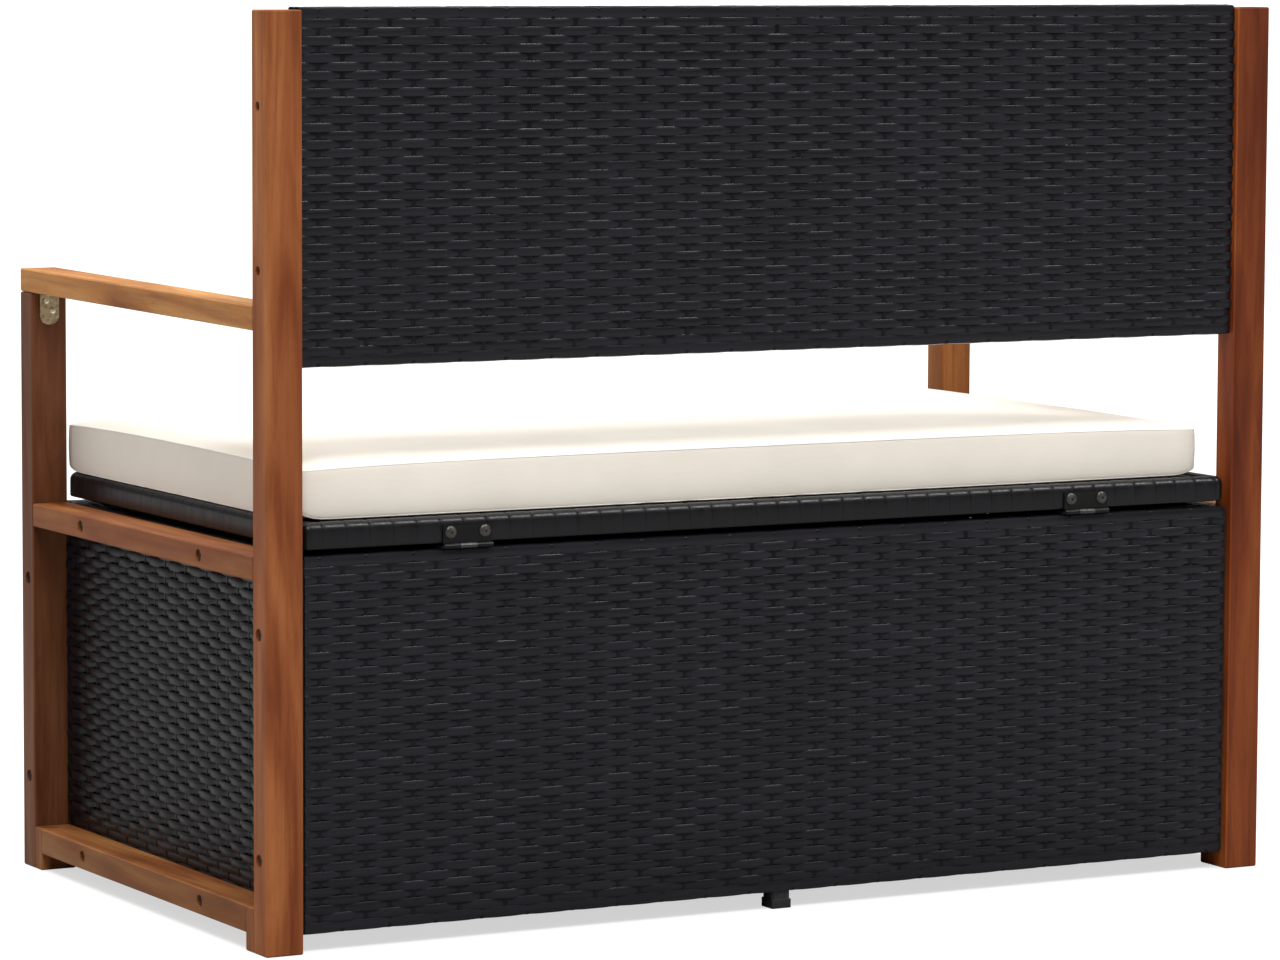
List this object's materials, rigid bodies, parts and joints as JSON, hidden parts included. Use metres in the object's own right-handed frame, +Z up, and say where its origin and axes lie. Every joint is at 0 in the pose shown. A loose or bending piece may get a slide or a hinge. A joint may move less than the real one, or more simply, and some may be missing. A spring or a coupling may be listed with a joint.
{
  "type": "garden storage bench",
  "caption": "Garden storage bench: wooden side frames with armrests, black woven back and box panels, a hinged seat lid over the box and a loose seat cushion.",
  "frame": {"origin": "on the ground under the middle of the bench", "axes": "+X to the right as seen from in front, +Y from the seat's front edge to the back panel, +Z up"},
  "size_m": [1.084, 0.572, 0.855],
  "materials": {
    "acacia_wood": "oiled acacia, satin",
    "black_rattan": "flat woven polyethylene strands, dull",
    "black_frame_steel": "black powder coat, satin",
    "black_hinge_steel": "black coated, satin",
    "zinc_plated_steel": "yellow zinc plate",
    "cream_fabric": "plain woven polyester, matt",
    "floor_sheet": "dull black sheet"
  },
  "bodies": {
    "bench": {"arm_bracket_left": "zinc_plated_steel", "arm_bracket_right": "zinc_plated_steel", "armrest_left": "acacia_wood", "armrest_right": "acacia_wood", "back_frame": "black_frame_steel", "back_panel_bolt_lower_left": "zinc_plated_steel", "back_panel_bolt_lower_right": "zinc_plated_steel", "back_panel_bolt_upper_left": "zinc_plated_steel", "back_panel_bolt_upper_right": "zinc_plated_steel", "back_weave": "black_rattan", "bottom_rail_bolt_front_left": "zinc_plated_steel", "bottom_rail_bolt_front_right": "zinc_plated_steel", "bottom_rail_bolt_rear_left": "zinc_plated_steel", "bottom_rail_bolt_rear_right": "zinc_plated_steel", "bottom_rail_left": "acacia_wood", "bottom_rail_right": "acacia_wood", "floor_board": "floor_sheet", "front_foot_left": "acacia_wood", "front_foot_right": "acacia_wood", "front_frame": "black_frame_steel", "front_panel_bolt_lower_left": "zinc_plated_steel", "front_panel_bolt_lower_right": "zinc_plated_steel", "front_panel_bolt_upper_left": "zinc_plated_steel", "front_panel_bolt_upper_right": "zinc_plated_steel", "front_post_left": "acacia_wood", "front_post_right": "acacia_wood", "front_weave": "black_rattan", "hinge_box_leaf_left": "black_hinge_steel", "hinge_box_leaf_right": "black_hinge_steel", "hinge_pin_left": "black_hinge_steel", "hinge_pin_right": "black_hinge_steel", "mid_rail_bolt_front_left": "zinc_plated_steel", "mid_rail_bolt_front_right": "zinc_plated_steel", "mid_rail_bolt_rear_left": "zinc_plated_steel", "mid_rail_bolt_rear_right": "zinc_plated_steel", "mid_rail_left": "acacia_wood", "mid_rail_right": "acacia_wood", "rear_foot_left": "acacia_wood", "rear_foot_right": "acacia_wood", "rear_frame": "black_frame_steel", "rear_panel_bolt_lower_left": "zinc_plated_steel", "rear_panel_bolt_lower_right": "zinc_plated_steel", "rear_panel_bolt_upper_left": "zinc_plated_steel", "rear_panel_bolt_upper_right": "zinc_plated_steel", "rear_post_left": "acacia_wood", "rear_post_right": "acacia_wood", "rear_weave": "black_rattan", "side_frame_left": "black_frame_steel", "side_frame_right": "black_frame_steel", "side_weave_left": "black_rattan", "side_weave_right": "black_rattan"},
    "lid": {"lid_frame": "black_frame_steel", "lid_weave": "black_rattan", "hinge_lid_leaf_left": "black_hinge_steel", "hinge_lid_leaf_right": "black_hinge_steel", "hinge_screw_left_inner": "black_hinge_steel", "hinge_screw_left_outer": "black_hinge_steel", "hinge_screw_right_inner": "black_hinge_steel", "hinge_screw_right_outer": "black_hinge_steel"},
    "cushion": {"seat_cushion": "cream_fabric"}
  },
  "joints": [
    {"name": "lid_hinge", "type": "hinge", "parent": "bench", "child": "lid", "pos_m": [0, 0.2828, 0.3645], "axis": [-1, 0, 0], "range_deg": [0, 50]},
    {"name": "cushion_slide", "type": "slide", "parent": "lid", "child": "cushion", "axis": [0, -1, 0], "range_m": [0, 0.25]}
  ]
}
